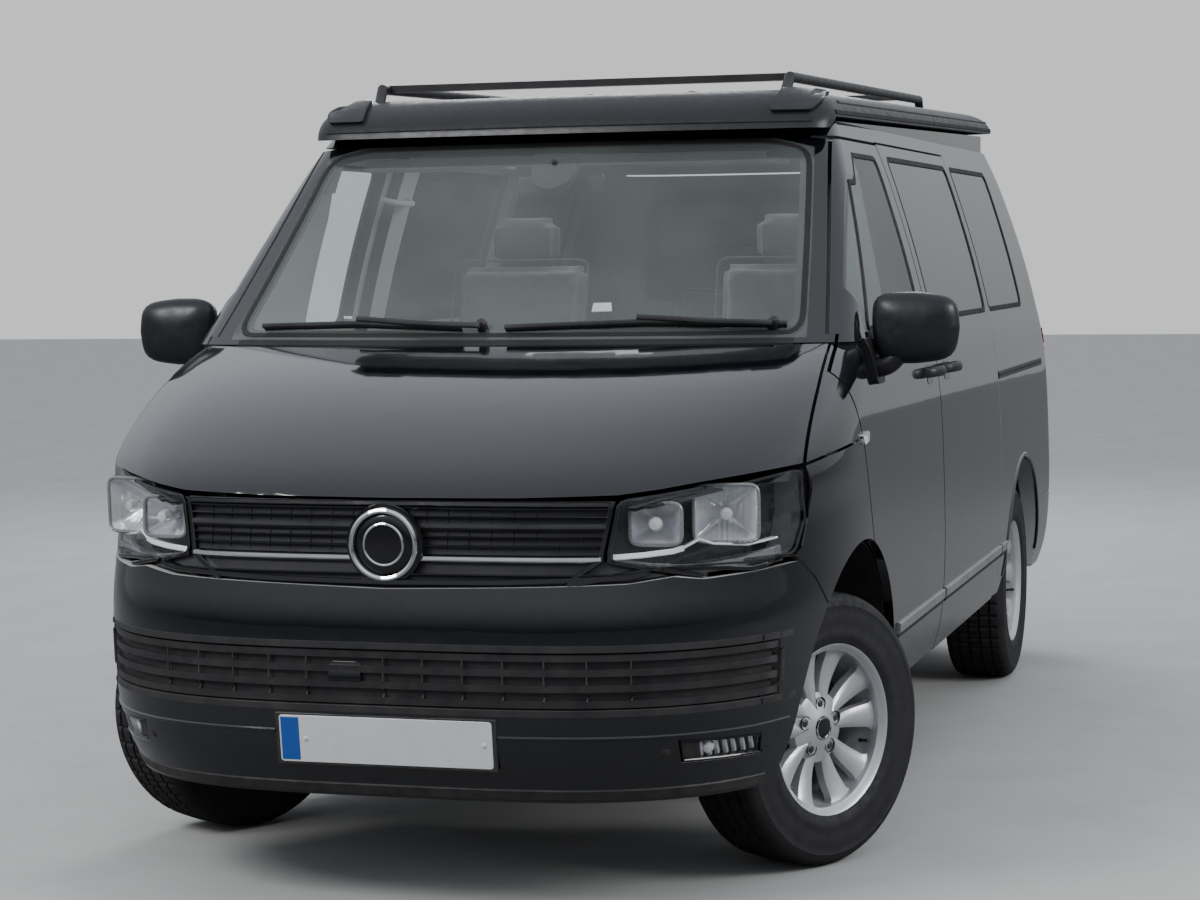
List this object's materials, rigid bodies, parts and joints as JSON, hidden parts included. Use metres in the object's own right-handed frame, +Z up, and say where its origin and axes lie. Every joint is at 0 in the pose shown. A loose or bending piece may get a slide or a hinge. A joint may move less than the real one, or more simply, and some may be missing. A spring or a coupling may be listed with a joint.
{
  "type": "short-wheelbase camper van",
  "caption": "Short-wheelbase panel van fitted out as a camper, with an elevating roof, hinged doors, tailgate and bonnet, and steered, rolling wheels.",
  "frame": {"origin": "on the ground, under the middle of the vehicle's box", "axes": "+X to the vehicle's left, +Y to its rear, +Z up"},
  "size_m": [2.2956, 4.8964, 2.0775],
  "materials": {
    "paint": "gloss",
    "structure": "satin",
    "glass": "clear, slightly green",
    "dark_glass": "dark tinted",
    "black_plastic": "grained",
    "lamp": "clear lens over reflectors",
    "tail_lamp": "gloss",
    "lid": "satin",
    "canvas": "woven",
    "rack": "black satin",
    "tyre": "matt",
    "alloy": "painted silver",
    "iron": "dull",
    "trim": "grained",
    "upholstery": "woven",
    "furniture": "laminated"
  },
  "bodies": {
    "body": {"side_panel_left": "paint", "side_panel_right": "paint", "sliding_door": "paint", "side_glass": "dark_glass", "roof_panel": "paint", "windscreen": "glass", "front_wings": "paint", "front_lamps": "lamp", "grilles": "black_plastic", "front_bumper": "paint", "front_frame": "structure", "bulkhead": "structure", "arch_liners": "black_plastic", "floor_pan": "structure", "rear_bumper": "paint", "tail_lamps": "tail_lamp", "roof_canvas": "canvas", "rear_suspension": "iron", "engine": "iron", "exhaust": "iron", "fuel_tank": "black_plastic", "dashboard": "trim", "steering_wheel": "trim", "front_seats": "upholstery", "rear_bench": "upholstery", "cabinet": "furniture", "wipers": "black_plastic"},
    "door_left": {"door_left": "paint", "door_glass_left": "glass", "mirror_left": "trim"},
    "door_right": {"door_right": "paint", "door_glass_right": "glass", "mirror_right": "trim"},
    "tailgate": {"tailgate": "paint", "tailgate_glass": "dark_glass"},
    "bonnet": {"bonnet": "paint"},
    "roof_lid": {"roof_lid": "lid", "roof_rack": "rack"},
    "knuckle_left": {"knuckle_left": "iron"},
    "knuckle_right": {"knuckle_right": "iron"},
    "wheel_front_left": {"tyre_front_left": "tyre", "rim_front_left": "alloy"},
    "wheel_front_right": {"tyre_front_right": "tyre", "rim_front_right": "alloy"},
    "wheel_rear_left": {"tyre_rear_left": "tyre", "rim_rear_left": "alloy"},
    "wheel_rear_right": {"tyre_rear_right": "tyre", "rim_rear_right": "alloy"}
  },
  "joints": [
    {"name": "steer_left", "type": "hinge", "parent": "body", "child": "knuckle_left", "pos_m": [0.69, -1.544, 0.343], "axis": [0, 0, 1], "range_deg": [-8, 64]},
    {"name": "steer_right", "type": "hinge", "parent": "body", "child": "knuckle_right", "pos_m": [-0.69, -1.544, 0.343], "axis": [0, 0, 1], "range_deg": [-8, 64]},
    {"name": "spin_front_left", "type": "hinge", "parent": "knuckle_left", "child": "wheel_front_left", "pos_m": [0.79949, -1.60221, 0.343], "axis": [0.8829, -0.4695, 0], "continuous": true},
    {"name": "spin_front_right", "type": "hinge", "parent": "knuckle_right", "child": "wheel_front_right", "pos_m": [-0.79949, -1.48578, 0.343], "axis": [0.8829, -0.4695, 0], "continuous": true},
    {"name": "spin_rear_left", "type": "hinge", "parent": "body", "child": "wheel_rear_left", "pos_m": [0.814, 1.456, 0.343], "axis": [1, 0, 0], "continuous": true},
    {"name": "spin_rear_right", "type": "hinge", "parent": "body", "child": "wheel_rear_right", "pos_m": [-0.814, 1.456, 0.343], "axis": [1, 0, 0], "continuous": true},
    {"name": "door_left_hinge", "type": "hinge", "parent": "body", "child": "door_left", "pos_m": [0.932, -1.648, 1.2], "axis": [0.0523, 0, -0.9986], "range_deg": [0, 68]},
    {"name": "door_right_hinge", "type": "hinge", "parent": "body", "child": "door_right", "pos_m": [-0.932, -1.648, 1.2], "axis": [0.0523, 0, 0.9986], "range_deg": [0, 68]},
    {"name": "tailgate_hinge", "type": "hinge", "parent": "body", "child": "tailgate", "pos_m": [0, 2.25, 1.84], "axis": [1, 0, 0], "range_deg": [0, 85]},
    {"name": "bonnet_hinge", "type": "hinge", "parent": "body", "child": "bonnet", "pos_m": [0, -1.455, 1.306], "axis": [-1, 0, 0], "range_deg": [0, 50]},
    {"name": "roof_hinge", "type": "hinge", "parent": "body", "child": "roof_lid", "pos_m": [0, 2.235, 1.965], "axis": [-1, 0, 0], "range_deg": [0, 20]}
  ],
  "couplings": [
    {"joint": "steer_right", "follows": "steer_left", "ratio": 1}
  ]
}
